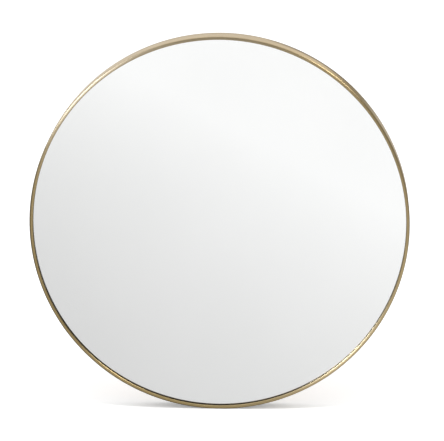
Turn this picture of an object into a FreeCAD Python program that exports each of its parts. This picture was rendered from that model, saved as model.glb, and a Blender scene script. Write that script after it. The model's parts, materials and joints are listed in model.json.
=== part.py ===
import FreeCAD, Part
import math
import os

# Round wall mirror: a rolled metal hoop closed round a disc of mirror glass and its board.
# Millimetres. The mirror hangs upright: +Z is up, the glass faces -Y, and +X is to the
# right of someone looking into it. The origin is the centre of the mirror on the wall.

# Hoop, as seen from the front and from the side
OUTER_DIAMETER = 600.0
FRAME_DEPTH = 40.0
FACE_WIDTH = 5.5
FACE_ROUNDING = 3.0
LIP_BEVEL = 0.8
RECESS_DEPTH = 3.5

# Hoop, its rolled profile
OUTER_WALL = 1.6
FACE_WALL = 1.6
LIP_WALL = 1.4
RIB_WALL = 1.6
FLANGE_WALL = 1.8
RIB_HEIGHT = 12.0
CHANNEL_BEVEL = 0.8
EDGE_BEVEL = 0.4
SEAM_GAP = 0.2

# Glass, its seal and its board
GLASS_THICKNESS = 4.0
GLASS_EDGE_GAP = 1.3
GLASS_ARRIS = 0.5
GASKET_THICKNESS = 0.5
GASKET_SETBACK = 0.3
GASKET_LEG = 0.9
GASKET_PLAY = 0.2
TAPE_THICKNESS = 1.0
TAPE_WIDTH = 25.0
TAPE_MARGIN = 15.0
TAPE_STRIPS = 5
BOARD_THICKNESS = 9.0
BOARD_ARRIS = 0.8

# Block that joins the two ends of the hoop
BLOCK_LENGTH = 90.0
BLOCK_THICKNESS = 6.0
BLOCK_WALL_GAP = 0.3
BLOCK_INSET = 0.8
JOINT_SCREW_RADIUS = 1.5
JOINT_SCREW_LENGTH = 7.0
JOINT_HEAD_RADIUS = 2.75
JOINT_HEAD_DEPTH = 1.25
JOINT_HEAD_SINK = 0.15
JOINT_SCREW_PITCH = 22.0
JOINT_SCREWS_PER_END = 2

# Hangers: a strap with a curled knuckle, and the ring that swings in it. Their place is an
# angle above the level middle, and how far in they stand from the rib.
HANGER_ANGLE = 40.0
HANGER_INSET = 54.0
STRAP_WIDTH = 16.0
STRAP_WALL = 1.2
STRAP_LENGTH = 46.0
STRAP_HOLE_RADIUS = 2.2
STRAP_FIRST_HOLE = 24.0
STRAP_HOLE_PITCH = 14.0
KNUCKLE_LIFT = 0.3
KNUCKLE_MOUTH = 0.8
RING_WIRE_RADIUS = 1.5
RING_RUNNING_GAP = 0.08
RING_WIDTH = 24.0
RING_ARM = 6.0
RING_BEND_RADIUS = 3.0

# Screws that hold the straps to the board
STRAP_SCREW_RADIUS = 2.0
STRAP_SCREW_LENGTH = 8.0
STRAP_HEAD_RADIUS = 3.9
STRAP_HEAD_HEIGHT = 2.3
STRAP_HEAD_BEVEL = 1.3

# Pads between the hoop and the wall
BUMPER_RADIUS = 4.5
BUMPER_THICKNESS = 2.0
BUMPER_EDGE = 0.4

# Clearances shared by several fits, and the overrun of every cut
SCREW_GAP = 0.05
CUT_OVERRUN = 5.0

# Radii of the hoop's faces
outer_radius = OUTER_DIAMETER / 2
face_radius = outer_radius - FACE_WIDTH
lip_radius = face_radius + LIP_WALL
wall_radius = outer_radius - OUTER_WALL
rib_radius = outer_radius - RIB_HEIGHT
glass_radius = wall_radius - GLASS_EDGE_GAP

# Places along the depth, from the wall forward
hoop_rear = -BUMPER_THICKNESS
hoop_front = hoop_rear - FRAME_DEPTH
flange_front = hoop_rear - FLANGE_WALL
lip_rear = hoop_front + RECESS_DEPTH
glass_front = lip_rear + GASKET_THICKNESS
glass_rear = glass_front + GLASS_THICKNESS
board_front = glass_rear + TAPE_THICKNESS
board_rear = board_front + BOARD_THICKNESS
rib_rear = board_rear + RIB_WALL

# Places on a hanger
knuckle_bore = RING_WIRE_RADIUS + RING_RUNNING_GAP
knuckle_radius = knuckle_bore + STRAP_WALL
ring_axis_y = board_rear + KNUCKLE_LIFT + knuckle_radius
strap_rear = board_rear + STRAP_WALL
hanger_x = (rib_radius - HANGER_INSET) * math.cos(math.radians(HANGER_ANGLE))
hanger_z = (rib_radius - HANGER_INSET) * math.sin(math.radians(HANGER_ANGLE))


def vector(x, y, z):
    return FreeCAD.Vector(x, y, z)


def rounded_corner(corner, start, end):
    """The quarter arc inside a square corner, from start on one side to end on the other."""
    centre = start + end - corner
    outward = corner - centre
    middle = centre + outward * ((start - centre).Length / outward.Length)
    return Part.Arc(start, middle, end).toShape()


def profile_face(corners, rounded=None):
    """A face from corners of (radius from the mirror's axis, y, length cut off the corner).

    Each cut is a bevel, but the corner whose index is rounded gets an arc.
    """
    places = [vector(radius, y, 0) for radius, y, cut in corners]
    cuts = []
    for index, (radius, y, cut) in enumerate(corners):
        to_last = places[index - 1] - places[index]
        to_next = places[(index + 1) % len(places)] - places[index]
        start = places[index] + to_last * (cut / to_last.Length)
        end = places[index] + to_next * (cut / to_next.Length)
        cuts.append((start, end))
    outline = []
    for index, (start, end) in enumerate(cuts):
        if index == rounded:
            outline.append(rounded_corner(places[index], start, end))
        elif start != end:
            outline.append(Part.makeLine(start, end))
        next_start = cuts[(index + 1) % len(cuts)][0]
        outline.append(Part.makeLine(end, next_start))
    return Part.Face(Part.Wire(outline))


def turned(corners):
    """The full turn of a profile about the mirror's axis."""
    return profile_face(corners).revolve(vector(0, 0, 0), vector(0, 1, 0), 360)


def cylinder(radius, start, end, x, z):
    """A round bar along Y, from one y to another."""
    return Part.makeCylinder(radius, end - start, vector(x, start, z), vector(0, 1, 0))


def turned_pin(corners, x, z):
    """A small turned piece along Y at (x, z), from corners of (radius, y, bevel)."""
    pin = turned(corners)
    pin.translate(vector(x, 0, z))
    return pin


def on_circle(radius, degrees):
    """The x and z of a point on a circle seen from the front, from +X towards +Z."""
    angle = math.radians(degrees)
    return radius * math.cos(angle), radius * math.sin(angle)


def frame_hoop():
    """The rolled profile: face and lip in front, a rib behind the board, a rear flange."""
    face = profile_face([
        (outer_radius, hoop_front, FACE_ROUNDING),
        (outer_radius, hoop_rear, EDGE_BEVEL),
        (rib_radius, hoop_rear, EDGE_BEVEL),
        (rib_radius, flange_front, 0),
        (wall_radius, flange_front, 0),
        (wall_radius, rib_rear, 0),
        (rib_radius, rib_rear, 0),
        (rib_radius, board_rear, 0),
        (wall_radius, board_rear, 0),
        (wall_radius, hoop_front + FACE_WALL, CHANNEL_BEVEL),
        (lip_radius, hoop_front + FACE_WALL, 0),
        (lip_radius, lip_rear, 0),
        (face_radius, lip_rear, 0),
        (face_radius, hoop_front, LIP_BEVEL),
    ], rounded=0)
    seam_angle = math.degrees(SEAM_GAP / outer_radius)
    face.rotate(vector(0, 0, 0), vector(0, 1, 0), 90 + seam_angle / 2)
    hoop = face.revolve(vector(0, 0, 0), vector(0, 1, 0), 360 - seam_angle)
    for x, z in joint_screw_places():
        hoop = hoop.cut(joint_screw_hole(x, z))
    return hoop


def joint_screw_places():
    """Screws on both sides of the seam, along the middle of the block."""
    middle_radius = (block_inner_radius() + block_outer_radius()) / 2
    places = []
    for side in (-1, 1):
        for index in range(JOINT_SCREWS_PER_END):
            along = side * (index + 1 / 2) * JOINT_SCREW_PITCH
            places.append(on_circle(middle_radius, 270 + math.degrees(along / middle_radius)))
    return places


def block_outer_radius():
    return wall_radius - BLOCK_WALL_GAP


def block_inner_radius():
    return rib_radius + BLOCK_INSET


def joint_screw_hole(x, z):
    """Clearance for a countersunk screw that comes in from the rear."""
    return turned_pin([
        (0, hoop_rear + CUT_OVERRUN, 0),
        (JOINT_HEAD_RADIUS + SCREW_GAP, hoop_rear + CUT_OVERRUN, 0),
        (JOINT_HEAD_RADIUS + SCREW_GAP, hoop_rear - JOINT_HEAD_SINK, 0),
        (JOINT_SCREW_RADIUS + SCREW_GAP, hoop_rear - JOINT_HEAD_SINK - JOINT_HEAD_DEPTH, 0),
        (JOINT_SCREW_RADIUS + SCREW_GAP, hoop_rear - JOINT_SCREW_LENGTH - SCREW_GAP, 0),
        (0, hoop_rear - JOINT_SCREW_LENGTH - SCREW_GAP, 0),
    ], x, z)


def joint_block():
    """A curved bar behind the rear flange that bridges the two ends of the hoop."""
    half_angle = math.degrees(BLOCK_LENGTH / 2 / block_outer_radius())
    face = profile_face([
        (block_outer_radius(), flange_front - BLOCK_THICKNESS, EDGE_BEVEL),
        (block_outer_radius(), flange_front, 0),
        (block_inner_radius(), flange_front, 0),
        (block_inner_radius(), flange_front - BLOCK_THICKNESS, EDGE_BEVEL),
    ])
    face.rotate(vector(0, 0, 0), vector(0, 1, 0), 90 - half_angle)
    block = face.revolve(vector(0, 0, 0), vector(0, 1, 0), 2 * half_angle)
    for x, z in joint_screw_places():
        block = block.cut(joint_screw_hole(x, z))
    return block


def joint_screws():
    """Countersunk screws, a little below the face of the rear flange."""
    head = hoop_rear - JOINT_HEAD_SINK
    outline = [
        (0, head, 0),
        (JOINT_HEAD_RADIUS, head, 0),
        (JOINT_SCREW_RADIUS, head - JOINT_HEAD_DEPTH, 0),
        (JOINT_SCREW_RADIUS, hoop_rear - JOINT_SCREW_LENGTH, 0),
        (0, hoop_rear - JOINT_SCREW_LENGTH, 0),
    ]
    return Part.Compound([turned_pin(outline, x, z) for x, z in joint_screw_places()])


def glazing_gasket():
    """An L of soft strip between the lip and the glass and round the glass's edge."""
    inner = face_radius + GASKET_SETBACK
    leg_outer = wall_radius - GASKET_PLAY
    leg_inner = leg_outer - GASKET_LEG
    return turned([
        (inner, lip_rear, 0),
        (leg_outer, lip_rear, 0),
        (leg_outer, glass_rear, 0),
        (leg_inner, glass_rear, 0),
        (leg_inner, glass_front, 0),
        (inner, glass_front, 0),
    ])


def disc(radius, front, rear, arris):
    """A flat disc with its two sharp edges taken off."""
    return turned([(0, front, 0), (radius, front, arris), (radius, rear, arris), (0, rear, 0)])


def mirror_glass():
    return disc(glass_radius, glass_front, glass_rear, GLASS_ARRIS)


def tape_strip(index):
    """One upright strip of foam tape, as long as the disc allows at its place."""
    pitch = 2 * glass_radius / (TAPE_STRIPS + 1)
    x = (index + 1) * pitch - glass_radius
    edge = abs(x) + TAPE_WIDTH / 2
    half_length = math.sqrt((glass_radius - TAPE_MARGIN) ** 2 - edge ** 2)
    corner = vector(x - TAPE_WIDTH / 2, glass_rear, -half_length)
    return Part.makeBox(TAPE_WIDTH, TAPE_THICKNESS, 2 * half_length, corner)


def backing_board():
    """The board behind the glass, with a pilot hole for each strap screw."""
    board = disc(glass_radius, board_front, board_rear, BOARD_ARRIS)
    depth = STRAP_SCREW_LENGTH - STRAP_WALL + SCREW_GAP
    for side in (-1, 1):
        for x, z in strap_hole_places(side):
            pilot = cylinder(STRAP_SCREW_RADIUS + SCREW_GAP, board_rear - depth,
                             board_rear + CUT_OVERRUN, x, z)
            board = board.cut(pilot)
    return board


def strap_hole_places(side):
    """The two holes of a strap; side is -1 on the left and 1 on the right."""
    x = side * hanger_x
    first = hanger_z - STRAP_FIRST_HOLE
    return [(x, first), (x, first - STRAP_HOLE_PITCH)]


def hanger_strap(side):
    """A strip screwed to the board, its top end curled into a knuckle for the ring."""
    x = side * hanger_x
    left = x - STRAP_WIDTH / 2
    end_radius = STRAP_WIDTH / 2
    foot = hanger_z - STRAP_LENGTH
    plate = Part.makeBox(STRAP_WIDTH, STRAP_WALL, STRAP_LENGTH - end_radius,
                         vector(left, board_rear, foot + end_radius))
    plate = plate.fuse(cylinder(end_radius, board_rear, strap_rear, x, foot + end_radius))
    along_x = vector(1, 0, 0)
    curl_start = vector(left, ring_axis_y, hanger_z)
    curl = Part.makeCylinder(knuckle_radius, STRAP_WIDTH, curl_start, along_x)
    strap = plate.fuse(curl).removeSplitter()
    bore_start = vector(left - CUT_OVERRUN, ring_axis_y, hanger_z)
    bore_length = STRAP_WIDTH + 2 * CUT_OVERRUN
    strap = strap.cut(Part.makeCylinder(knuckle_bore, bore_length, bore_start, along_x))
    mouth_foot = vector(left - CUT_OVERRUN, strap_rear, hanger_z - knuckle_radius - CUT_OVERRUN)
    mouth = Part.makeBox(bore_length, KNUCKLE_MOUTH, knuckle_radius + CUT_OVERRUN, mouth_foot)
    strap = strap.cut(mouth)
    for hole_x, hole_z in strap_hole_places(side):
        strap = strap.cut(cylinder(STRAP_HOLE_RADIUS, board_rear - CUT_OVERRUN,
                                   strap_rear + CUT_OVERRUN, hole_x, hole_z))
    return strap


def bent_wire(start, heading, steps):
    """Round wire from start: each step is a straight run, then a bend of (radius, degrees)."""
    turn_axis = vector(0, 1, 0)
    quarter = FreeCAD.Rotation(turn_axis, 90)
    lengths = []
    for run, bend_radius, degrees in steps:
        lengths.append(Part.makeCylinder(RING_WIRE_RADIUS, run, start, heading))
        start = start + heading * run
        if not degrees:
            continue
        centre = start + quarter.multVec(heading) * bend_radius
        section = Part.Face(Part.Wire(Part.makeCircle(RING_WIRE_RADIUS, start, heading)))
        lengths.append(section.revolve(centre, turn_axis, degrees))
        turn = FreeCAD.Rotation(turn_axis, degrees)
        start = centre + turn.multVec(start - centre)
        heading = turn.multVec(heading)
    return lengths[0].multiFuse(lengths[1:])


def hanger_ring(side):
    """A D of round wire: its straight bar turns in the knuckle, and it hangs down."""
    half = RING_WIDTH / 2
    bend = RING_BEND_RADIUS
    middle = vector(side * hanger_x, ring_axis_y, hanger_z)
    return bent_wire(middle, vector(1, 0, 0), [
        (half - bend, bend, 90),
        (RING_ARM - bend, half, 180),
        (RING_ARM - bend, bend, 90),
        (half - bend, 0, 0),
    ])


def hanger_screws(side):
    """Screws through the strap into the board."""
    tip = strap_rear - STRAP_SCREW_LENGTH
    crown = strap_rear + STRAP_HEAD_HEIGHT
    outline = [
        (0, tip, 0),
        (STRAP_SCREW_RADIUS, tip, 0),
        (STRAP_SCREW_RADIUS, strap_rear, 0),
        (STRAP_HEAD_RADIUS, strap_rear, 0),
        (STRAP_HEAD_RADIUS, crown, STRAP_HEAD_BEVEL),
        (0, crown, 0),
    ]
    return Part.Compound([turned_pin(outline, x, z) for x, z in strap_hole_places(side)])


def wall_bumper(degrees):
    """A round pad stuck to the middle of the rear flange."""
    x, z = on_circle((outer_radius + rib_radius) / 2, degrees)
    return turned_pin([
        (0, hoop_rear, 0),
        (BUMPER_RADIUS, hoop_rear, 0),
        (BUMPER_RADIUS, 0, BUMPER_EDGE),
        (0, 0, 0),
    ], x, z)


pieces = {
    "frame_hoop": frame_hoop(),
    "joint_block": joint_block(),
    "joint_screws": joint_screws(),
    "glazing_gasket": glazing_gasket(),
    "mirror_glass": mirror_glass(),
    "backing_board": backing_board(),
    "left_hanger_strap": hanger_strap(-1),
    "right_hanger_strap": hanger_strap(1),
    "left_hanger_ring": hanger_ring(-1),
    "right_hanger_ring": hanger_ring(1),
    "left_hanger_screws": hanger_screws(-1),
    "right_hanger_screws": hanger_screws(1),
    "upper_right_bumper": wall_bumper(45),
    "upper_left_bumper": wall_bumper(135),
    "lower_left_bumper": wall_bumper(225),
    "lower_right_bumper": wall_bumper(315),
}
for strip in range(TAPE_STRIPS):
    pieces[f"tape_strip_{strip + 1}"] = tape_strip(strip)

os.makedirs("parts", exist_ok=True)
for name, shape in pieces.items():
    print(f"{name}: {len(shape.Solids)} solid, {shape.Volume / 1000:.2f} cm3, valid {shape.isValid()}")
    shape.exportStep(f"parts/{name}.step")
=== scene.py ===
import json
import math

import bmesh
import bpy
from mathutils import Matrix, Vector


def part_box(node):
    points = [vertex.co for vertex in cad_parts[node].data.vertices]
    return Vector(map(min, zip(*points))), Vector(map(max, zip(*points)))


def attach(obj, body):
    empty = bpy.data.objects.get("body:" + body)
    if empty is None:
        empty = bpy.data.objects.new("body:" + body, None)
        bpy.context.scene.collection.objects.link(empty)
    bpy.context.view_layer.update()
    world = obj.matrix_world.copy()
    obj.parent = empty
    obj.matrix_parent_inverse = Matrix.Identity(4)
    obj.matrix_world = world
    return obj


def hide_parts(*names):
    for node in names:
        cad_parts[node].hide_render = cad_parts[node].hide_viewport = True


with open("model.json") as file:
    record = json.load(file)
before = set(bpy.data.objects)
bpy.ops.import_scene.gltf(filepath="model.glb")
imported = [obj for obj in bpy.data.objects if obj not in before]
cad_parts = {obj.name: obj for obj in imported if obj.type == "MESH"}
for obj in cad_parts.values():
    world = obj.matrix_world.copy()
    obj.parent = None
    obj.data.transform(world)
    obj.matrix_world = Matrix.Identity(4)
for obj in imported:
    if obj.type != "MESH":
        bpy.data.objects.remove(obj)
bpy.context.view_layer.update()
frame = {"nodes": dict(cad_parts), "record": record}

MM = 0.001
FULL_TURN = 2 * math.pi
QUARTER_TURN = math.pi / 2
nodes = frame["nodes"]

# The hoop's profile and what lies in it, as the model has them
FACE_WIDTH = 5.5 * MM
LIP_WALL = 1.4 * MM
OUTER_WALL = 1.6 * MM
FACE_WALL = 1.6 * MM
RIB_WALL = 1.6 * MM
FLANGE_WALL = 1.8 * MM
RIB_HEIGHT = 12 * MM
GASKET_THICKNESS = 0.5 * MM
GASKET_SETBACK = 0.3 * MM
GASKET_LEG = 0.9 * MM
SEAM_GAP = 0.2 * MM
GLASS_ARRIS = 0.5 * MM

# Roundings of the pieces made here, and the silver behind the clear glass
OUTER_ROUNDING = 2.2 * MM
INNER_ROUNDING = 1.6 * MM
EDGE_ROUNDING = 0.4 * MM
SILVER_FRONT = 0.1 * MM
SILVER_GAP = 0.02 * MM

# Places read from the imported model
hoop_low, hoop_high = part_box("frame_hoop")
glass_low, glass_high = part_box("mirror_glass")
outer_radius = (hoop_high.z - hoop_low.z) / 2
face_radius = outer_radius - FACE_WIDTH
hoop_front = hoop_low.y
hoop_rear = hoop_high.y
hoop_depth = hoop_rear - hoop_front
floor_height = hoop_low.z

# Screws. A recess has a depth and a reach, as shares of its head's height and radius.
HOLE_GAP = 0.05 * MM
JOINT_HEAD_DEPTH = 1.25 * MM
JOINT_SHANK_RADIUS = 1.5 * MM
JOINT_RECESS = (0.8, 0.62)
STRAP_HEAD_HEIGHT = 2.3 * MM
STRAP_HEAD_RIM = 0.9 * MM
STRAP_HEAD_FULLNESS = 0.7
STRAP_SHANK_RADIUS = 2.0 * MM
STRAP_RECESS = (0.7, 0.6)
# How each recess came to rest, in degrees: the first screw's turn, and the step to the next
JOINT_TURNS = (23, 71)
STRAP_TURNS = (31, 53)
# A recess's mouth and foot: height as a share of its depth, length and width of its reach
RECESS_LEVELS = ((0.15, 1.0, 0.2), (-1.0, 0.42, 0.13))

# Straps and rings. The strip is straight between two heights below the knuckle, in its radii.
STRAP_HOLE_RADIUS = 2.2 * MM
STRAP_WALL = 1.2 * MM
STRAP_EDGE = 0.2 * MM
STRAIGHT_PART = (5, 2)
KNUCKLE_BORE = 1.58 * MM
KNUCKLE_TURN = 298
RING_BEND_RADIUS = 3.0 * MM

# Steps round a whole turn, an arc or a bend
TURNED_SEGMENTS = 720
DISC_SEGMENTS = 360
SMALL_SEGMENTS = 48
WIRE_SIDES = 32
ARC_STEPS = 6
STRIP_ARC_STEPS = 3
DOME_STEPS = 9
FOOT_STEPS = 12
CURL_STEPS = 40
BEND_STEPS = 8
HALF_CIRCLE_STEPS = 32
SMOOTH_ANGLE = math.radians(30)

CUT_OVERRUN = 1.0 * MM
SAME_POINT = 0.001 * MM

# Camera, as it stood for the photograph: a little to the right of the mirror and above it
IMAGE_WIDTH = 444
FOCAL_LENGTH_PIXELS = 3200
SENSOR_WIDTH = 36.0
CAMERA_TURN = 2.16
CAMERA_RISE = 12.01
CAMERA_DISTANCE = 5.042
CAMERA_REACH = 100
AIM_RIGHT = 4.5 * MM
AIM_UP = 7.1 * MM


def make_camera():
    turn = math.radians(CAMERA_TURN)
    rise = math.radians(CAMERA_RISE)
    level = math.cos(rise)
    back = Vector((math.sin(turn) * level, -math.cos(turn) * level, math.sin(rise)))
    right = Vector((math.cos(turn), math.sin(turn), 0))
    up = back.cross(right)
    aim = Vector((0, hoop_front, 0)) + right * AIM_RIGHT + up * AIM_UP
    data = bpy.data.cameras.new("photo_camera")
    data.sensor_width = SENSOR_WIDTH
    data.lens = FOCAL_LENGTH_PIXELS / IMAGE_WIDTH * SENSOR_WIDTH
    data.clip_end = CAMERA_REACH
    camera = bpy.data.objects.new("photo_camera", data)
    camera.location = aim + back * CAMERA_DISTANCE
    camera.rotation_euler = (-back).to_track_quat("-Z", "Y").to_euler()
    bpy.context.scene.collection.objects.link(camera)
    bpy.context.scene.camera = camera


# What is left out at each end of the range of a noise, and of a sum of noises
NOISE_MARGIN = 0.3
TONE_MARGIN = 0.35


class Shader:
    """A node tree with short calls: each adds a node or a few and returns the last output."""

    def __init__(self, tree):
        self.tree = tree
        self.tree.nodes.clear()

    def add(self, kind, inputs=(), output=0, **settings):
        made = self.tree.nodes.new(kind)
        for name, value in settings.items():
            setattr(made, name, value)
        for name, value in dict(inputs).items():
            if isinstance(value, bpy.types.NodeSocket):
                self.tree.links.new(value, made.inputs[name])
            else:
                made.inputs[name].default_value = value
        return made.outputs[output]

    def math(self, operation, a, b=0.0, clamp=False):
        return self.add("ShaderNodeMath", {0: a, 1: b}, operation=operation, use_clamp=clamp)

    def plus(self, a, b, clamp=False):
        return self.math("ADD", a, b, clamp)

    def minus(self, a, b):
        return self.math("SUBTRACT", a, b)

    def times(self, product, *factors):
        for factor in factors:
            product = self.math("MULTIPLY", product, factor)
        return product

    def over(self, a, b):
        return self.math("DIVIDE", a, b)

    def larger(self, a, b):
        return self.math("MAXIMUM", a, b)

    def without_sign(self, a):
        return self.math("ABSOLUTE", a)

    def weighted(self, *terms):
        """The sum of some values, each multiplied by its weight."""
        total = None
        for value, weight in terms:
            term = self.times(value, weight)
            total = term if total is None else self.plus(total, term)
        return total

    def length(self, a, b):
        """The long side of a right triangle with the sides a and b."""
        return self.math("SQRT", self.plus(self.times(a, a), self.times(b, b)))

    def place(self):
        return self.add("ShaderNodeTexCoord", output="Object")

    def split(self, vector):
        made = self.tree.nodes.new("ShaderNodeSeparateXYZ")
        self.tree.links.new(vector, made.inputs[0])
        return made.outputs[0], made.outputs[1], made.outputs[2]

    def join(self, x, y, z):
        return self.add("ShaderNodeCombineXYZ", {0: x, 1: y, 2: z})

    def grey(self, tone):
        return self.join(tone, tone, tone)

    def noise(self, vector, scale, detail, roughness=0.5, w=None):
        inputs = {"Vector": vector, "Scale": scale, "Detail": detail, "Roughness": roughness}
        if w is None:
            return self.add("ShaderNodeTexNoise", inputs)
        inputs["W"] = w
        return self.add("ShaderNodeTexNoise", inputs, noise_dimensions="4D")

    def spread(self, value, low, high, to_low=0.0, to_high=1.0):
        """The value's range from low to high, spread over another and held at its ends."""
        inputs = {"Value": value, "From Min": low, "From Max": high,
                  "To Min": to_low, "To Max": to_high}
        return self.add("ShaderNodeMapRange", inputs)

    def fade(self, value, low, high):
        """1 at low and before it, falling to 0 at high."""
        return self.spread(value, low, high, 1.0, 0.0)

    def graded(self, noise, to_low=0.0, to_high=1.0, margin=NOISE_MARGIN):
        """A noise's range, without a margin at each end, spread over another."""
        return self.spread(noise, margin, 1.0 - margin, to_low, to_high)

    def blend(self, share, first, second, mode="MIX"):
        made = self.tree.nodes.new("ShaderNodeMix")
        made.data_type = "RGBA"
        made.blend_type = mode
        for index, value in ((0, share), (6, first), (7, second)):
            if isinstance(value, bpy.types.NodeSocket):
                self.tree.links.new(value, made.inputs[index])
            elif index == 0:
                made.inputs[index].default_value = value
            else:
                made.inputs[index].default_value = (*value, 1.0)
        return made.outputs[2]

    def stain(self, share, colour, tint):
        """The colour, multiplied by a tint as far as the share goes."""
        return self.blend(share, colour, tint, "MULTIPLY")

    def bump(self, height, depth, strength):
        inputs = {"Height": height, "Distance": depth, "Strength": strength}
        return self.add("ShaderNodeBump", inputs)

    def principled(self, inputs):
        return self.add("ShaderNodeBsdfPrincipled", inputs)

    def surface(self, shader):
        output = self.tree.nodes.new("ShaderNodeOutputMaterial")
        self.tree.links.new(shader, output.inputs["Surface"])


def new_material(name):
    material = bpy.data.materials.new(name)
    material.use_nodes = True
    return material, Shader(material.node_tree)


def dress(piece, material):
    """Gives a piece one material in all its slots."""
    slots = piece.data.materials
    if not slots:
        slots.append(material)
    for index in range(len(slots)):
        slots[index] = material


def around_the_hoop(shader):
    """Distance from the mirror's axis, y, and the direction round the hoop as two shares."""
    x, y, z = shader.split(shader.place())
    radius = shader.length(x, z)
    return radius, y, shader.over(x, radius), shader.over(z, radius)


def from_edge(edge, distances):
    """The places at some distances from an edge, against the axis where they are negative."""
    return [edge + distance for distance in distances]


# Metal of the hoop
HOOP_LIGHT = (0.55, 0.425, 0.23)
HOOP_DARK = (0.435, 0.33, 0.17)
HOOP_ROUGHNESS = (0.35, 0.41)
# Its grain: how fine the streaks are across the brushing and along it, and the slow patina
COARSE_STREAKS = (900.0, 9.0)
FINE_STREAKS = (3600.0, 30.0)
PATINA_SCALE = 14.0
GRAIN_SHARES = (0.5, 0.3, 0.2)

# Tints of painted shade, of a painted dark reflection and of painted warm and cool light, and the
# bright metal of a worn edge and of a painted highlight
PAINTED_SHADE_TINT = (0.62, 0.58, 0.50)
PAINTED_SHADE_LEAST = 0.6
PAINTED_DARK_REFLECTION = (0.35, 0.3, 0.22)
PAINTED_EDGE_SHADE = (0.42, 0.39, 0.33)
PAINTED_LIP_SHADE = (0.45, 0.42, 0.36)
PAINTED_WARM_LIGHT = (1.0, 0.98, 0.85)
PAINTED_COOL_LIGHT = (0.94, 0.98, 1.16)
WEAR_AND_HIGHLIGHT_COLOUR = (0.78, 0.66, 0.43)
WEAR_AND_HIGHLIGHT_SHARE = 0.7
WEAR_AND_HIGHLIGHT_SCALE = 30.0
WEAR_AND_HIGHLIGHT_RANGE = (0.3, 0.6)

# Where they lie across the hoop. Depths are shares of the hoop's, in front of the wall, and the
# others are distances from an edge, in y or in radius.
PAINTED_SHADE_DEPTH = 0.45
PAINTED_SHADE_WIDTH = 1.2 * MM
DARK_REFLECTION_DEPTHS = (0.6, 0.2)
OUTER_EDGE = (-2.4 * MM, -0.9 * MM)
LIP_FROM_FRONT = (0.6 * MM, 1.2 * MM)
LIP_FROM_FACE = (0.2 * MM, 0.6 * MM)
REAR_WEAR = (-0.7 * MM, -0.1 * MM)
INNER_HIGHLIGHT_BAND = (0.2 * MM, 0.9 * MM)

# Where they lie round the hoop, by direction: across is 1 at the right, and up is 1 at the top
DARK_REFLECTION_DIRECTION = math.radians(60)
DARK_REFLECTION_SPAN = (0.96, 0.995)
UNWORN_AT_DARK_REFLECTION = (0.85, 0.95)
SHADED_TOP = (-0.4, 0.4)
HIGHLIGHTED_FOOT = (0.0, -0.4)
SHADED_LOWER_LEFT = (-0.6, -1.1)
WARM_LIGHT_SPAN = (-0.5, -1.2)
UPPER_LEFT_WEIGHTS = (1.6, -0.6)
COOL_LIGHT_SPAN = (1.0, 1.5)


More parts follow.
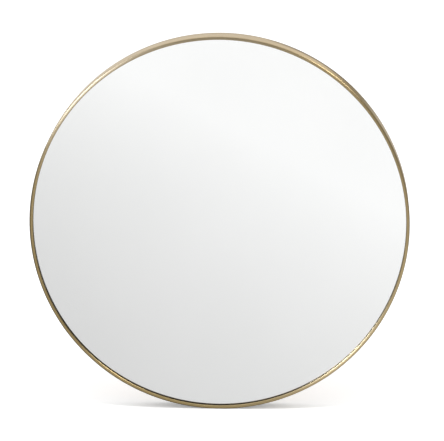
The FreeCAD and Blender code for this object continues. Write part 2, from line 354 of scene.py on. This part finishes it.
def hoop_metal():
    """Antique brass, brushed along the hoop, with painted shade, reflections and highlights in its
    colour.
    """
    material, shader = new_material("brushed_brass")
    radius, y, across, up = around_the_hoop(shader)

    def streaks(fineness, along):
        direction = shader.join(shader.times(across, along), shader.times(up, along),
                                shader.times(radius, fineness))
        return shader.noise(direction, scale=1.0, detail=3.0, w=shader.times(y, fineness))

    coarse = streaks(*COARSE_STREAKS)
    fine = streaks(*FINE_STREAKS)
    patina = shader.noise(shader.place(), PATINA_SCALE, detail=3.0)
    tone = shader.weighted(*zip((coarse, fine, patina), GRAIN_SHARES))
    colour = shader.blend(shader.graded(tone, margin=TONE_MARGIN), HOOP_DARK, HOOP_LIGHT)
    # Painted shade, broken up by the patina: darker towards the wall, and on the face's inner edge
    # in the upper half
    rear = shader.spread(y, -PAINTED_SHADE_DEPTH * hoop_depth, 0.0)
    inner = shader.times(shader.fade(radius, *from_edge(face_radius, (0.0, PAINTED_SHADE_WIDTH))),
                         shader.spread(up, *SHADED_TOP))
    painted_shade = shader.times(shader.larger(rear, inner), shader.graded(patina, PAINTED_SHADE_LEAST))
    colour = shader.stain(painted_shade, colour, PAINTED_SHADE_TINT)
    # A painted dark reflection lies on the side wall at the upper right, nearer to the wall
    towards_dark_reflection = shader.weighted((across, math.cos(DARK_REFLECTION_DIRECTION)),
                                    (up, math.sin(DARK_REFLECTION_DIRECTION)))
    dark_reflection = shader.times(shader.spread(towards_dark_reflection, *DARK_REFLECTION_SPAN),
                         shader.spread(y, *[-share * hoop_depth for share in DARK_REFLECTION_DEPTHS]))
    colour = shader.stain(dark_reflection, colour, PAINTED_DARK_REFLECTION)
    # Painted shade at the lower left: the face's outer edge and the lip's wall are darker
    lower_left = shader.plus(across, up)
    shaded_side = shader.spread(lower_left, *SHADED_LOWER_LEFT)
    outer_edge = shader.spread(radius, *from_edge(outer_radius, OUTER_EDGE))
    colour = shader.stain(shader.times(outer_edge, shaded_side), colour, PAINTED_EDGE_SHADE)
    lip_wall = shader.times(shader.spread(y, *from_edge(hoop_front, LIP_FROM_FRONT)),
                            shader.fade(radius, *from_edge(face_radius, LIP_FROM_FACE)))
    colour = shader.stain(shader.times(lip_wall, shaded_side), colour, PAINTED_LIP_SHADE)
    # Painted warm and cool light in the hue: warmer at the lower left, cooler at the top and upper
    # left
    colour = shader.stain(shader.spread(lower_left, *WARM_LIGHT_SPAN), colour, PAINTED_WARM_LIGHT)
    upper_left = shader.weighted(*zip((up, across), UPPER_LEFT_WEIGHTS))
    colour = shader.stain(shader.spread(upper_left, *COOL_LIGHT_SPAN), colour, PAINTED_COOL_LIGHT)
    # Here and there the rear edge is rubbed bright by wear, but not at the painted dark
    # reflection, and the face's inner edge in the lower half gets a painted highlight, broken up
    # the same way
    rear_edge = shader.times(shader.spread(y, *from_edge(hoop_rear, REAR_WEAR)),
                             shader.spread(radius, *from_edge(outer_radius, REAR_WEAR)),
                             shader.fade(towards_dark_reflection, *UNWORN_AT_DARK_REFLECTION))
    inner_edge = shader.times(shader.fade(y, *from_edge(hoop_front, INNER_HIGHLIGHT_BAND)),
                              shader.fade(radius, *from_edge(face_radius, INNER_HIGHLIGHT_BAND)),
                              shader.spread(up, *HIGHLIGHTED_FOOT))
    wear_and_highlight_breakup = shader.spread(shader.noise(shader.place(), WEAR_AND_HIGHLIGHT_SCALE, detail=2.0), *WEAR_AND_HIGHLIGHT_RANGE)
    wear_and_highlight = shader.times(shader.larger(rear_edge, inner_edge), shader.times(wear_and_highlight_breakup, WEAR_AND_HIGHLIGHT_SHARE))
    colour = shader.blend(wear_and_highlight, colour, WEAR_AND_HIGHLIGHT_COLOUR)
    shader.surface(shader.principled({
        "Base Color": colour,
        "Metallic": 1.0,
        "Roughness": shader.graded(fine, *HOOP_ROUGHNESS),
        "Anisotropic": 0.85,
        "Anisotropic Rotation": 0.25,
        "Tangent": shader.add("ShaderNodeTangent", direction_type="RADIAL", axis="Y"),
        "Coat Weight": 0.15,
        "Coat Roughness": 0.25,
        "Normal": shader.bump(fine, depth=0.02 * MM, strength=0.35),
    }))
    return material


# The other finishes: their darkest and palest tones, and how rough they are
SILVER_TONES = ((0.97, 0.97, 0.97), (0.985, 0.985, 0.985))
GLASS_TONES = ((0.99, 0.995, 0.992), (0.994, 0.997, 0.995))
SEAL_TONES = ((0.03, 0.028, 0.026), (0.05, 0.048, 0.045))
BUMPER_TONES = ((0.05, 0.05, 0.05), (0.09, 0.09, 0.09))
RUBBER_ROUGHNESS = 0.75
FOAM_TONES = ((0.70, 0.69, 0.66), (0.82, 0.81, 0.78))
FOAM_ROUGHNESS = 0.9
BOARD_TONES = ((0.30, 0.20, 0.125), (0.44, 0.315, 0.20))
BOARD_SHARES = (0.65, 0.35)
BOARD_ROUGHNESS = (0.7, 0.9)
ZINC_TONES = ((0.55, 0.56, 0.56), (0.72, 0.72, 0.70))
ZINC_ROUGHNESS = (0.25, 0.42)


def silver_coating():
    """The silvered back of the glass, clouded very faintly."""
    material, shader = new_material("mirror_silver")
    cloud = shader.noise(shader.place(), scale=6.0, detail=2.0)
    shader.surface(shader.principled({
        "Base Color": shader.blend(shader.graded(cloud), *SILVER_TONES),
        "Metallic": 1.0,
        "Roughness": 0.0,
    }))
    return material


def clear_glass():
    """Clear glass, its trace of green varying slowly."""
    material, shader = new_material("clear_glass")
    wave = shader.noise(shader.place(), scale=3.0, detail=1.0)
    shader.surface(shader.principled({
        "Base Color": shader.blend(shader.graded(wave), *GLASS_TONES),
        "Roughness": 0.0,
        "IOR": 1.5,
        "Transmission Weight": 1.0,
    }))
    return material


def plain_rubber(name, dark, light, roughness=RUBBER_ROUGHNESS):
    """Rubber or foam with a fine, even grain."""
    material, shader = new_material(name)
    grain = shader.noise(shader.place(), scale=900.0, detail=3.0)
    shader.surface(shader.principled({
        "Base Color": shader.blend(shader.graded(grain), dark, light),
        "Roughness": roughness,
        "Normal": shader.bump(grain, depth=0.1 * MM, strength=0.4),
    }))
    return material


def fibreboard():
    """Bare fibreboard: fine pressed fibres over slow changes of tone."""
    material, shader = new_material("fibreboard")
    fibres = shader.noise(shader.place(), scale=700.0, detail=5.0, roughness=0.65)
    clouds = shader.noise(shader.place(), scale=18.0, detail=3.0)
    tone = shader.weighted(*zip((fibres, clouds), BOARD_SHARES))
    shader.surface(shader.principled({
        "Base Color": shader.blend(shader.graded(tone, margin=TONE_MARGIN), *BOARD_TONES),
        "Roughness": shader.graded(fibres, *BOARD_ROUGHNESS),
        "Normal": shader.bump(fibres, depth=0.15 * MM, strength=0.5),
    }))
    return material


def zinc_plate():
    """Bright zinc on steel: faint clouded grain, a little duller in patches."""
    material, shader = new_material("zinc_plate")
    grain = shader.noise(shader.place(), scale=500.0, detail=4.0)
    patches = shader.noise(shader.place(), scale=90.0, detail=2.0)
    shader.surface(shader.principled({
        "Base Color": shader.blend(shader.graded(patches), *ZINC_TONES),
        "Metallic": 1.0,
        "Roughness": shader.graded(grain, *ZINC_ROUGHNESS),
        "Normal": shader.bump(grain, depth=0.03 * MM, strength=0.3),
    }))
    return material


def on_circle(radius, angle, y=0.0, x=0.0, z=0.0):
    """A point on a circle about a line along Y at (x, z)."""
    return x + radius * math.cos(angle), y, z + radius * math.sin(angle)


def middle_of(low, high):
    """The x and z of a box's middle."""
    return (low.x + high.x) / 2, (low.z + high.z) / 2


def radius_of(low, high):
    """The radius of what is round about a line along Y, from its box."""
    return (high.x - low.x) / 2


def rounded_profile(corners, arc_steps=ARC_STEPS):
    """Points (radius, y) of a closed profile, its corners (radius, y, rounding) rounded off."""
    points = []
    for index, (radius, y, rounding) in enumerate(corners):
        corner = Vector((radius, y))
        if not rounding:
            points.append(corner)
            continue
        before = (Vector(corners[index - 1][:2]) - corner).normalized()
        after = (Vector(corners[(index + 1) % len(corners)][:2]) - corner).normalized()
        centre = corner + (before + after) * rounding
        for step in range(arc_steps + 1):
            angle = QUARTER_TURN * step / arc_steps
            points.append(centre - before * (rounding * math.sin(angle))
                          - after * (rounding * math.cos(angle)))
    return points


def skin(mesh, rings, closed):
    """Quads between each ring of vertices and the next, and from the last to the first."""
    following = rings[1:] + rings[:1] if closed else rings[1:]
    for first, second in zip(rings, following):
        for index in range(len(first)):
            after = (index + 1) % len(first)
            mesh.faces.new((first[index], first[after], second[after], second[index]))


def smooth(data):
    data.shade_smooth()
    data.set_sharp_from_angle(angle=SMOOTH_ANGLE)


def finished_piece(name, mesh):
    data = bpy.data.meshes.new(name)
    mesh.to_mesh(data)
    mesh.free()
    smooth(data)
    piece = bpy.data.objects.new(name, data)
    bpy.context.scene.collection.objects.link(piece)
    return piece


def turned_piece(name, points, start=0.0, sweep=FULL_TURN):
    """A profile of (radius, y) turned about the mirror's axis, with ends if it stops short."""
    whole = sweep == FULL_TURN
    mesh = bmesh.new()
    rings = []
    for step in range(TURNED_SEGMENTS if whole else TURNED_SEGMENTS + 1):
        angle = start + sweep * step / TURNED_SEGMENTS
        rings.append([mesh.verts.new(on_circle(radius, angle, y)) for radius, y in points])
    skin(mesh, rings, closed=whole)
    if not whole:
        caps = [mesh.faces.new(rings[0]), mesh.faces.new(list(reversed(rings[-1])))]
        bmesh.ops.triangulate(mesh, faces=caps)
    bmesh.ops.recalc_face_normals(mesh, faces=mesh.faces)
    return finished_piece(name, mesh)


def turned_solid(points, x=0.0, z=0.0, segments=SMALL_SEGMENTS):
    """A closed mesh of (radius, y) points turned about a line along Y, both ends on it."""
    mesh = bmesh.new()
    first = mesh.verts.new((x, points[0][1], z))
    last = mesh.verts.new((x, points[-1][1], z))
    angles = [FULL_TURN * step / segments for step in range(segments)]
    rings = [[mesh.verts.new(on_circle(radius, angle, y, x, z)) for angle in angles]
             for radius, y in points[1:-1]]
    for index in range(segments):
        after = (index + 1) % segments
        mesh.faces.new((first, rings[0][index], rings[0][after]))
        for inner, outer in zip(rings, rings[1:]):
            mesh.faces.new((inner[index], outer[index], outer[after], inner[after]))
        mesh.faces.new((last, rings[-1][after], rings[-1][index]))
    bmesh.ops.recalc_face_normals(mesh, faces=mesh.faces)
    return mesh


def disc_piece(name, radius, front, rear, bevel):
    points = [(0, front), (radius - bevel, front), (radius, front + bevel),
              (radius, rear - bevel), (radius - bevel, rear), (0, rear)]
    return finished_piece(name, turned_solid(points, segments=DISC_SEGMENTS))


def cut_away(piece, mesh):
    """Cuts the closed mesh away from the piece, for good."""
    data = bpy.data.meshes.new("cutter")
    mesh.to_mesh(data)
    mesh.free()
    cutter = bpy.data.objects.new("cutter", data)
    bpy.context.scene.collection.objects.link(cutter)
    modifier = piece.modifiers.new("cut", "BOOLEAN")
    modifier.operation = "DIFFERENCE"
    modifier.solver = "EXACT"
    modifier.object = cutter
    evaluated = piece.evaluated_get(bpy.context.evaluated_depsgraph_get())
    cut = bpy.data.meshes.new_from_object(evaluated)
    piece.modifiers.clear()
    piece.data = cut
    cut.name = piece.name
    smooth(cut)
    bpy.data.objects.remove(cutter)


def solid_boxes(node):
    """The lowest and highest corners of each separate solid of a node."""
    mesh = bmesh.new()
    mesh.from_mesh(nodes[node].data)
    bmesh.ops.remove_doubles(mesh, verts=mesh.verts, dist=SAME_POINT)
    boxes = []
    seen = set()
    for start in mesh.verts:
        if start in seen:
            continue
        seen.add(start)
        waiting = [start]
        solid = []
        while waiting:
            vertex = waiting.pop()
            solid.append(vertex.co)
            beside = [edge.other_vert(vertex) for edge in vertex.link_edges]
            waiting.extend(other for other in beside if other not in seen)
            seen.update(beside)
        low = Vector([min(point[axis] for point in solid) for axis in range(3)])
        high = Vector([max(point[axis] for point in solid) for axis in range(3)])
        boxes.append((low, high))
    mesh.free()
    return boxes


def hoop_piece():
    """The whole profile of the hoop, turned from one side of its seam to the other."""
    lip_outer = face_radius + LIP_WALL
    wall = outer_radius - OUTER_WALL
    rib = outer_radius - RIB_HEIGHT
    lip_rear = glass_low.y - GASKET_THICKNESS
    board_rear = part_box("backing_board")[1].y
    flange_front = hoop_rear - FLANGE_WALL
    points = rounded_profile([
        (outer_radius, hoop_front, OUTER_ROUNDING),
        (outer_radius, hoop_rear, EDGE_ROUNDING),
        (rib, hoop_rear, EDGE_ROUNDING),
        (rib, flange_front, 0),
        (wall, flange_front, 0),
        (wall, board_rear + RIB_WALL, 0),
        (rib, board_rear + RIB_WALL, 0),
        (rib, board_rear, 0),
        (wall, board_rear, 0),
        (wall, hoop_front + FACE_WALL, 0),
        (lip_outer, hoop_front + FACE_WALL, 0),
        (lip_outer, lip_rear, 0),
        (face_radius, lip_rear, 0),
        (face_radius, hoop_front, INNER_ROUNDING),
    ])
    gap = SEAM_GAP / outer_radius
    return turned_piece("brushed_hoop", points, -QUARTER_TURN + gap / 2, FULL_TURN - gap)


def gasket_piece():
    """The L of soft strip between the lip and the glass and round the glass's edge."""
    low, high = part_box("glazing_gasket")
    outer = (high.z - low.z) / 2
    inner = face_radius + GASKET_SETBACK
    leg = outer - GASKET_LEG
    return turned_piece("glazing_seal", [
        (inner, low.y), (outer, low.y), (outer, high.y), (leg, high.y),
        (leg, low.y + GASKET_THICKNESS), (inner, low.y + GASKET_THICKNESS),
    ])


def cross_wing(x, y, z, depth, reach, angle):
    """One of the two crossed wedges of a driver's recess, open towards +Y."""
    along = Vector((math.cos(angle), 0, math.sin(angle)))
    aside = Vector((-math.sin(angle), 0, math.cos(angle)))
    mesh = bmesh.new()
    levels = []
    for height, length_share, width_share in RECESS_LEVELS:
        middle = Vector((x, y + height * depth, z))
        half_length = along * reach * length_share
        half_width = aside * reach * width_share
        levels.append([mesh.verts.new(middle + half_length * a + half_width * b)
                       for a, b in ((-1, -1), (1, -1), (1, 1), (-1, 1))])
    top, foot = levels
    mesh.faces.new(top)
    mesh.faces.new(foot)
    for index in range(4):
        after = (index + 1) % 4
        mesh.faces.new((top[index], top[after], foot[after], foot[index]))
    bmesh.ops.recalc_face_normals(mesh, faces=mesh.faces)
    return mesh


def screw_piece(name, points, place, recess, turn):
    """A screw turned from its profile, tip first, with a cross recess in its head."""
    screw = finished_piece(name, turned_solid(points, *place))
    crown = points[-1][1]
    x, z = place
    for quarter in (0, QUARTER_TURN):
        cut_away(screw, cross_wing(x, crown, z, *recess, turn + quarter))
    return screw


def resting_turn(turns, index):
    first, step = turns
    return math.radians(first + step * index)


def joint_hole(low, high):
    """The countersunk hole of a joint screw in the hoop."""
    head = radius_of(low, high) + HOLE_GAP
    shank = JOINT_SHANK_RADIUS + HOLE_GAP
    seat = high.y - JOINT_HEAD_DEPTH
    points = [(0, low.y), (shank, low.y), (shank, seat), (head, high.y),
              (head, hoop_rear + CUT_OVERRUN), (0, hoop_rear + CUT_OVERRUN)]
    return turned_solid(points, *middle_of(low, high))


def joint_screw_pieces():
    """Countersunk screws in the hoop's rear flange, across its seam."""
    depth_share, reach_share = JOINT_RECESS
    bevel = EDGE_ROUNDING / 4
    screws = []
    for index, (low, high) in enumerate(solid_boxes("joint_screws")):
        head = radius_of(low, high)
        seat = high.y - JOINT_HEAD_DEPTH
        points = [(0, low.y), (JOINT_SHANK_RADIUS, low.y), (JOINT_SHANK_RADIUS, seat),
                  (head, high.y - bevel), (head - bevel, high.y), (0, high.y)]
        recess = (JOINT_HEAD_DEPTH * depth_share, head * reach_share)
        screws.append(screw_piece(f"joint_screw_{index + 1}", points, middle_of(low, high),
                                  recess, resting_turn(JOINT_TURNS, index)))
    return screws


def strap_screw_pieces(side):
    """Pan head screws that hold a strap to the board."""
    depth_share, reach_share = STRAP_RECESS
    bevel = EDGE_ROUNDING / 2
    screws = []
    for index, (low, high) in enumerate(solid_boxes(f"{side}_hanger_screws")):
        head = radius_of(low, high)
        seat = high.y - STRAP_HEAD_HEIGHT
        rim = seat + STRAP_HEAD_RIM
        dome = []
        for step in range(DOME_STEPS):
            angle = QUARTER_TURN * step / DOME_STEPS
            radius = head * math.cos(angle) ** STRAP_HEAD_FULLNESS
            dome.append((radius, rim + (high.y - rim) * math.sin(angle)))
        points = [(0, low.y), (STRAP_SHANK_RADIUS, low.y), (STRAP_SHANK_RADIUS, seat),
                  (head - bevel, seat), (head, seat + bevel), *dome, (0, high.y)]
        recess = (STRAP_HEAD_HEIGHT * depth_share, head * reach_share)
        screws.append(screw_piece(f"{side}_strap_screw_{index + 1}", points,
                                  middle_of(low, high), recess,
                                  resting_turn(STRAP_TURNS, index)))
    return screws


def arc_points(centre_x, centre_z, radius, start, end, steps):
    angles = [math.radians(start + (end - start) * step / steps) for step in range(steps + 1)]
    return [Vector(on_circle(radius, angle, x=centre_x, z=centre_z)) for angle in angles]


def ring_piece(side):
    """A D of round wire: a straight bar on the hinge line, two bends and a half circle below."""
    low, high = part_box(f"{side}_hanger_ring")
    wire = (high.y - low.y) / 2
    x, y, top = (low.x + high.x) / 2, (low.y + high.y) / 2, high.z - wire
    half = (high.x - low.x) / 2 - wire
    bend = RING_BEND_RADIUS
    line = arc_points(x + half - bend, top - bend, bend, 90, 0, BEND_STEPS)
    line += arc_points(x, low.z + wire + half, half, 0, -180, HALF_CIRCLE_STEPS)
    line += arc_points(x - half + bend, top - bend, bend, 180, 90, BEND_STEPS)
    mesh = bmesh.new()
    rings = []
    for index, point in enumerate(line):
        along = (line[(index + 1) % len(line)] - line[index - 1]).normalized()
        out = along.cross(Vector((0, 1, 0)))
        middle = point + Vector((0, y, 0))
        ring = []
        for step in range(WIRE_SIDES):
            angle = FULL_TURN * step / WIRE_SIDES
            ring.append(mesh.verts.new(middle + out * (wire * math.cos(angle))
                                       + Vector((0, wire * math.sin(angle), 0))))
        rings.append(ring)
    skin(mesh, rings, closed=True)
    bmesh.ops.recalc_face_normals(mesh, faces=mesh.faces)
    return finished_piece(f"{side}_ring", mesh)


def strap_piece(side):
    """A strip of steel with a round foot, its top end curled into a knuckle for the ring."""
    low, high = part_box(f"{side}_hanger_strap")
    x = (low.x + high.x) / 2
    half_width = (high.x - low.x) / 2
    front, foot = low.y, low.z
    half_wall = STRAP_WALL / 2
    curl = KNUCKLE_BORE + half_wall
    axis_y, axis_z = high.y - curl - half_wall, high.z - curl - half_wall
    forward = Vector((0, -1, 0))
    # Each station: a place on the middle of the strip, the way out of its front, half its width
    stations = []
    for step in range(1, FOOT_STEPS + 1):
        angle = QUARTER_TURN * step / FOOT_STEPS
        place = Vector((x, front + half_wall, foot + half_width * (1 - math.cos(angle))))
        stations.append((place, forward, half_width * math.sin(angle)))
    for radii in STRAIGHT_PART:
        place = Vector((x, front + half_wall, axis_z - radii * curl))
        stations.append((place, forward, half_width))
    for step in range(CURL_STEPS + 1):
        angle = math.radians(KNUCKLE_TURN * step / CURL_STEPS)
        out = Vector((0, -math.cos(angle), math.sin(angle)))
        stations.append((Vector((x, axis_y, axis_z)) + out * curl, out, half_width))
    mesh = bmesh.new()
    rings = []
    for place, out, half in stations:
        section = rounded_profile([
            (-half, -half_wall, STRAP_EDGE), (half, -half_wall, STRAP_EDGE),
            (half, half_wall, STRAP_EDGE), (-half, half_wall, STRAP_EDGE),
        ], STRIP_ARC_STEPS)
        rings.append([mesh.verts.new(place + Vector((across, 0, 0)) + out * depth)
                      for across, depth in section])
    skin(mesh, rings, closed=False)
    mesh.faces.new(rings[0])
    mesh.faces.new(list(reversed(rings[-1])))
    bmesh.ops.recalc_face_normals(mesh, faces=mesh.faces)
    strap = finished_piece(f"{side}_strap", mesh)
    for screw_low, screw_high in solid_boxes(f"{side}_hanger_screws"):
        points = [(0, front - CUT_OVERRUN), (STRAP_HOLE_RADIUS, front - CUT_OVERRUN),
                  (STRAP_HOLE_RADIUS, high.y), (0, high.y)]
        cut_away(strap, turned_solid(points, x, (screw_low.z + screw_high.z) / 2))
    return strap


def bumper_piece(node):
    """A round pad with its free edge rounded."""
    low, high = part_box(node)
    radius = radius_of(low, high)
    angles = [QUARTER_TURN * step / ARC_STEPS for step in range(ARC_STEPS + 1)]
    edge = [(radius - EDGE_ROUNDING + EDGE_ROUNDING * math.cos(angle),
             high.y - EDGE_ROUNDING + EDGE_ROUNDING * math.sin(angle)) for angle in angles]
    points = [(0, low.y), (radius, low.y), *edge, (0, high.y)]
    return finished_piece(f"{node}_pad", turned_solid(points, *middle_of(low, high)))


# Floor, and how far the camera sees it lifted towards the white behind it
FLOOR_SIZE = 60.0
FLOOR_COLOUR = (0.95, 0.95, 0.95, 1.0)
FLOOR_LIFT = 0.30
# Its tones in the mirror and the metal, by place: x to the right and y towards the back
FRONT_TONE = 0.74
FRONT_SLOPES = (0.29, -0.11)
FAR_FRONT = (-5.6, -4.6)
FAR_FRONT_SHARE = 0.1
FAR_SIDES = (0.7, 1.3)
FAR_SIDES_SHARE = 0.4
BEHIND_START = (-0.04, 0.02)
BEHIND_RISE = (0.8, 2.2)
BEHIND_TONES = (0.16, 0.95)


def shade_under_hoop(shader, x, y):
    """The share of the sky that the hoop hides from a place on the floor beside its foot."""
    height = shader.plus(shader.over(shader.times(x, x), 2 * outer_radius), MM)
    sines = []
    for edge in (hoop_front, hoop_rear):
        across = shader.minus(y, edge)
        sines.append(shader.over(across, shader.length(across, height)))
    return shader.times(shader.minus(*sines), 0.5)


def floor_tone(shader):
    """What the mirror and the metal see of the floor, with its light and shade painted in."""
    x, y, _ = shader.split(shader.place())
    # Painted light in front: paler to the right and further out, and darker out to both sides and
    # far off
    tone = shader.plus(shader.weighted(*zip((x, y), FRONT_SLOPES)), FRONT_TONE, clamp=True)
    tone = shader.times(tone, shader.spread(y, *FAR_FRONT, FAR_FRONT_SHARE, 1.0))
    distance = shader.without_sign(x)
    tone = shader.times(tone, shader.spread(distance, *FAR_SIDES, 1.0, FAR_SIDES_SHARE))
    # Painted shade behind: dark near the mirror and pale further off
    behind = shader.spread(y, *BEHIND_START)
    tone = shader.plus(shader.times(tone, shader.minus(1.0, behind)),
                       shader.times(behind, shader.spread(y, *BEHIND_RISE, *BEHIND_TONES)))
    # The hoop's shadow beside its foot is painted in too
    return shader.times(tone, shader.minus(1.0, shade_under_hoop(shader, x, y)))


def make_floor():
    """A wide white floor at the hoop's foot, which the mirror and the metal see in other tones."""
    data = bpy.data.meshes.new("studio_floor")
    half = FLOOR_SIZE / 2
    data.from_pydata([(-half, -half, floor_height), (half, -half, floor_height),
                      (half, half, floor_height), (-half, half, floor_height)], [], [(0, 1, 2, 3)])
    floor = bpy.data.objects.new("studio_floor", data)
    bpy.context.scene.collection.objects.link(floor)
    material, shader = new_material("studio_floor")
    mirrored = shader.add("ShaderNodeEmission", {"Color": shader.grey(floor_tone(shader))})
    lit = shader.add("ShaderNodeBsdfDiffuse", {"Color": FLOOR_COLOUR})
    lift = shader.add("ShaderNodeEmission", {"Color": (1.0, 1.0, 1.0, 1.0),
                                             "Strength": FLOOR_LIFT})
    seen = shader.add("ShaderNodeAddShader", {0: lit, 1: lift})
    path = shader.tree.nodes.new("ShaderNodeLightPath").outputs
    first = shader.add("ShaderNodeMixShader", {0: path["Is Camera Ray"], 1: lit, 2: seen})
    reflected = shader.larger(path["Is Glossy Ray"], path["Is Transmission Ray"])
    shader.surface(shader.add("ShaderNodeMixShader", {0: reflected, 1: first, 2: mirrored}))
    dress(floor, material)
    return floor


# The studio in reflections, by direction: x to the right, y towards the back and z up
ROOM_DEPTH = (0.0, 0.6)
ROOM_TONES = (0.2, 1.0)
CEILING_RISE = (0.45, 0.80)
STRAIGHT_BACK = (0.984, 0.996)
STRAIGHT_BACK_SHARE = 0.4
OVERHEAD_RISE = (0.45, 0.75)
OVERHEAD_SIDES = (0.3, 0.5)
OVERHEAD_TONE = 0.2
HIGH_BACK_RISE = (0.4, 0.8)
HIGH_BACK_DEPTH = (-0.2, 0.1)
HIGH_BACK_TONE = 0.4
# A dark stand behind the mirror, which rises to the right from its foot and widens as it goes
STAND_FOOT = (0.005, -0.166)
STAND_LEAN = math.radians(46)
STAND_SLOPES = (0.10, 0.22)
STAND_NEAREST = 0.001
STAND_DEPTH = (0.2, 0.4)
STAND_DARKNESS = 0.85
# What diffuse surfaces get a little less of: light from behind
DIM_DEPTH = (-0.2, 0.4)
DIM_MOST = 0.18


def stand_mask(shader, x, y, z):
    """1 where the dark stand is, softened at its sides."""
    right = shader.minus(x, STAND_FOOT[0])
    above = shader.minus(z, STAND_FOOT[1])
    cosine, sine = math.cos(STAND_LEAN), math.sin(STAND_LEAN)
    along = shader.weighted((right, cosine), (above, sine))
    aside = shader.weighted((above, cosine), (right, -sine))
    slope = shader.over(shader.without_sign(aside), shader.larger(along, STAND_NEAREST))
    return shader.times(shader.fade(slope, *STAND_SLOPES), shader.spread(y, *STAND_DEPTH))


def make_world():
    """White behind everything; in reflections a studio that is dark in front and white behind."""
    world = bpy.data.worlds.new("studio")
    world.use_nodes = True
    bpy.context.scene.world = world
    shader = Shader(world.node_tree)
    x, y, z = shader.split(shader.add("ShaderNodeTexCoord", output="Generated"))
    tone = shader.spread(y, *ROOM_DEPTH, *ROOM_TONES)
    tone = shader.larger(tone, shader.spread(z, *CEILING_RISE))
    tone = shader.times(tone, shader.spread(y, *STRAIGHT_BACK, 1.0, STRAIGHT_BACK_SHARE))
    overhead = shader.times(shader.spread(z, *OVERHEAD_RISE),
                            shader.fade(shader.without_sign(x), *OVERHEAD_SIDES), OVERHEAD_TONE)
    tone = shader.plus(tone, overhead)
    high_back = shader.times(shader.spread(z, *HIGH_BACK_RISE),
                             shader.spread(y, *HIGH_BACK_DEPTH), HIGH_BACK_TONE)
    tone = shader.plus(tone, high_back)
    stand = shader.times(stand_mask(shader, x, y, z), STAND_DARKNESS)
    tone = shader.times(tone, shader.minus(1.0, stand))
    room = shader.add("ShaderNodeBackground", {"Color": shader.grey(tone)})
    path = shader.tree.nodes.new("ShaderNodeLightPath").outputs
    dimmer = shader.times(path["Is Diffuse Ray"], shader.spread(y, *DIM_DEPTH, 0.0, DIM_MOST))
    pale = shader.grey(shader.minus(1.0, dimmer))
    white = shader.add("ShaderNodeBackground", {"Color": pale})
    plain = shader.larger(path["Is Camera Ray"], path["Is Diffuse Ray"])
    mixed = shader.add("ShaderNodeMixShader", {0: plain, 1: room, 2: white})
    output = world.node_tree.nodes.new("ShaderNodeOutputWorld")
    world.node_tree.links.new(mixed, output.inputs["Surface"])


LAMP_DISTANCE = 3.0
COOL_WHITE = (0.85, 0.94, 1.15)
PLAIN_WHITE = (1.0, 1.0, 1.0)


def round_lamp(name, direction, size, power, colour, linked):
    """A round soft lamp, aimed at the mirror's middle from a direction."""
    data = bpy.data.lights.new(name, "AREA")
    data.color = colour
    data.shape = "DISK"
    data.size = size
    data.energy = power
    lamp = bpy.data.objects.new(name, data)
    away = Vector(direction).normalized()
    lamp.location = away * LAMP_DISTANCE
    lamp.rotation_euler = (-away).to_track_quat("-Z", "Y").to_euler()
    lamp.light_linking.receiver_collection = linked
    bpy.context.scene.collection.objects.link(lamp)


def floor_link(floor, state):
    """A light link that holds the floor alone, for a lamp that lights only it or all but it."""
    linked = bpy.data.collections.new(f"floor_{state.lower()}")
    linked.objects.link(floor)
    linked.collection_objects[0].light_linking.link_state = state
    return linked


def make_lights(floor):
    off_the_floor = floor_link(floor, "EXCLUDE")
    round_lamp("key_light", direction=(-0.59, -0.715, 0.36), size=1.2, power=64,
               colour=COOL_WHITE, linked=off_the_floor)
    round_lamp("fill_light", direction=(0.61, -0.36, 0.70), size=0.9, power=26,
               colour=PLAIN_WHITE, linked=off_the_floor)
    round_lamp("floor_light", direction=(0.0, -0.35, 0.94), size=0.5, power=27,
               colour=PLAIN_WHITE, linked=floor_link(floor, "INCLUDE"))


def stand_for(piece, material, slot, *replaced, body="root"):
    """Gives a piece its material and its body, and hides the nodes that it stands for; its slot is
    not used.
    """
    dress(piece, material)
    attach(piece, body)
    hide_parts(*replaced)


def make_glass():
    """The clear sheet, and the silver on its back as a disc of its own."""
    radius = (glass_high.z - glass_low.z) / 2
    rear = glass_high.y
    sheet = disc_piece("glass_sheet", radius, glass_low.y, rear - SILVER_FRONT, GLASS_ARRIS)
    stand_for(sheet, clear_glass(), "mirror", "mirror_glass")
    silver = disc_piece("silver_coating", radius - GLASS_ARRIS - SILVER_FRONT,
                        rear - SILVER_FRONT + SILVER_GAP, rear - SILVER_GAP, SILVER_GAP / 2)
    stand_for(silver, silver_coating(), "mirror", "mirror_glass")


def make_pieces(looks):
    hoop = hoop_piece()
    for low, high in solid_boxes("joint_screws"):
        cut_away(hoop, joint_hole(low, high))
    stand_for(hoop, looks["hoop_metal"], "hoop_metal", "frame_hoop")
    make_glass()
    stand_for(gasket_piece(), looks["seal"], "seal", "glazing_gasket")
    zinc = looks["zinc"]
    for screw in joint_screw_pieces():
        stand_for(screw, zinc, "zinc", "joint_screws")
    for side in ("left", "right"):
        stand_for(strap_piece(side), zinc, "zinc", f"{side}_hanger_strap")
        stand_for(ring_piece(side), zinc, "zinc", f"{side}_hanger_ring", body=f"{side}_ring")
        for screw in strap_screw_pieces(side):
            stand_for(screw, zinc, "zinc", f"{side}_hanger_screws")
        for level in ("upper", "lower"):
            node = f"{level}_{side}_bumper"
            stand_for(bumper_piece(node), looks["bumper"], "bumper", node)


def dress_nodes(looks):
    """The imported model's own pieces get their finish by slot."""
    for entry in frame["record"]["subparts"]:
        slot = entry["material_slot"]
        if slot in looks:
            dress(nodes[entry["node"]], looks[slot])


bpy.context.scene.view_settings.view_transform = "Standard"
make_camera()
make_world()
make_lights(make_floor())
looks = {
    "hoop_metal": hoop_metal(),
    "seal": plain_rubber("black_seal", *SEAL_TONES),
    "foam": plain_rubber("white_foam", *FOAM_TONES, FOAM_ROUGHNESS),
    "board": fibreboard(),
    "zinc": zinc_plate(),
    "bumper": plain_rubber("bumper_rubber", *BUMPER_TONES),
}
dress_nodes(looks)
make_pieces(looks)
